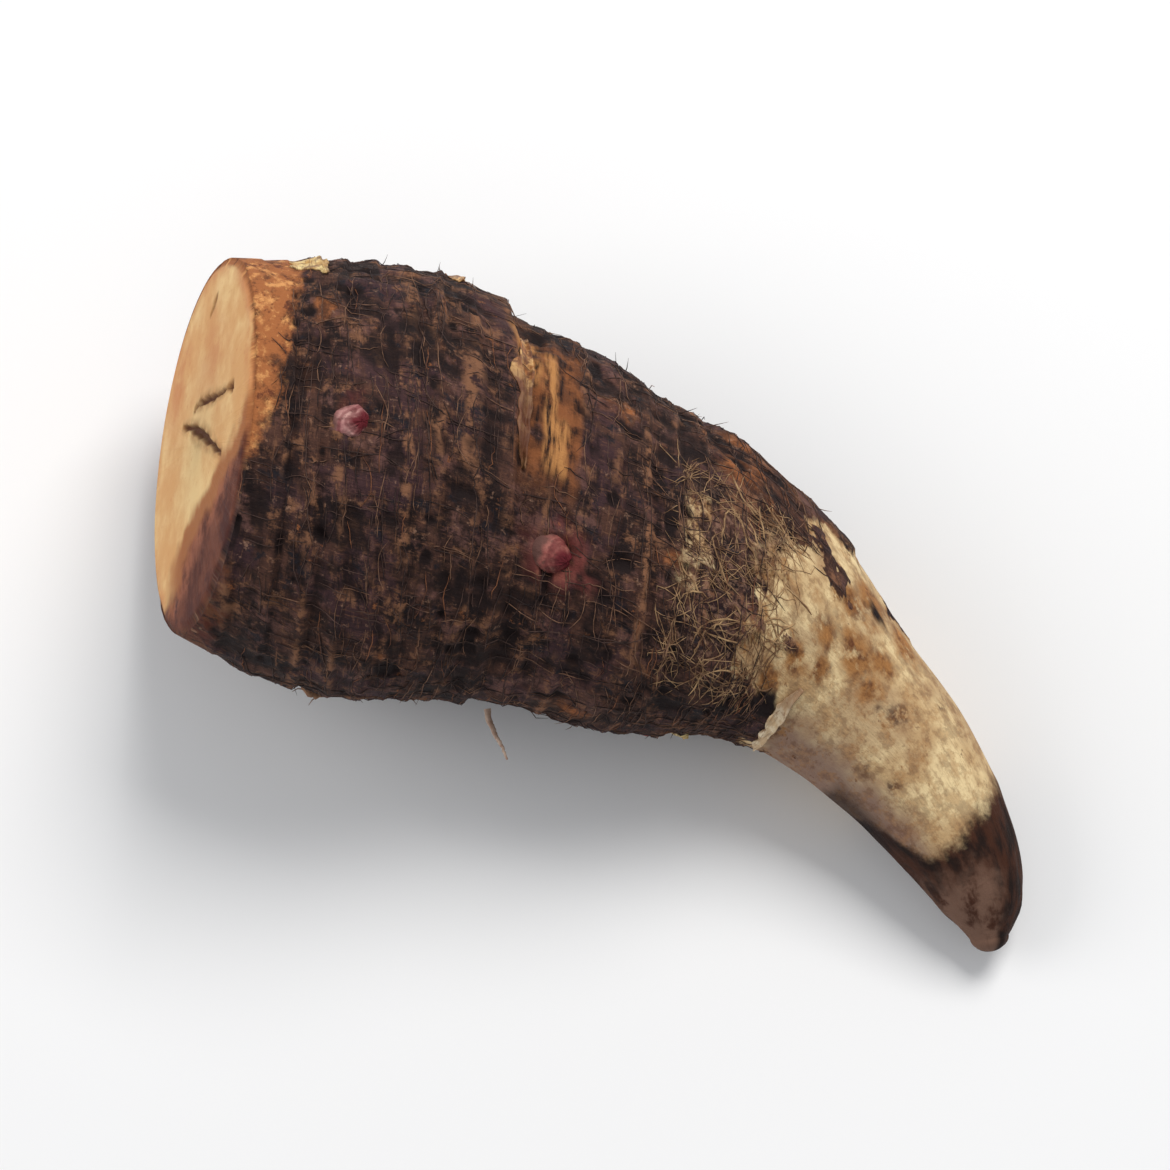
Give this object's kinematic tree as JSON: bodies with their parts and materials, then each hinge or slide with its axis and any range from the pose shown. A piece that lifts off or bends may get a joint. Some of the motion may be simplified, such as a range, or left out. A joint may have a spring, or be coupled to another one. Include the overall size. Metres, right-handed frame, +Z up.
{
  "type": "taro root",
  "caption": "Small taro root with a ringed, fibrous brown husk, a knife-cut broad end and a bent cream-coloured neck, lying on its belly.",
  "frame": {"origin": "centre of the whole part's bounding box in plan, on the plane it rests on", "axes": "+X from the knife-cut broad end towards the neck, +Z up as the root lies on its belly, +Y to the side away from which the neck bends"},
  "size_m": [0.1214, 0.0928, 0.0591],
  "materials": {
    "husk": "dry fibrous husk, ringed with leaf scars; cream where the skin is bare",
    "bud": "soft satin pink scales",
    "rootlet": "dry wiry root, matt",
    "sheath": "dry papery leaf sheath, matt"
  },
  "bodies": {
    "root": {"corm": "husk", "bud_1": "bud", "bud_2": "bud", "bud_3": "bud", "bud_4": "bud", "bud_5": "bud", "bud_6": "bud", "rootlet_1": "rootlet", "rootlet_2": "rootlet", "rootlet_3": "rootlet", "rootlet_4": "rootlet", "rootlet_5": "rootlet", "rootlet_6": "rootlet", "rootlet_7": "rootlet", "rootlet_8": "rootlet", "rootlet_9": "rootlet", "waist_sheath_scrap": "sheath", "shoulder_sheath_scrap": "sheath", "collar_skin_chip": "sheath", "far_side_sheath_scrap": "sheath", "near_side_sheath_scrap": "sheath"}
  },
  "joints": []
}
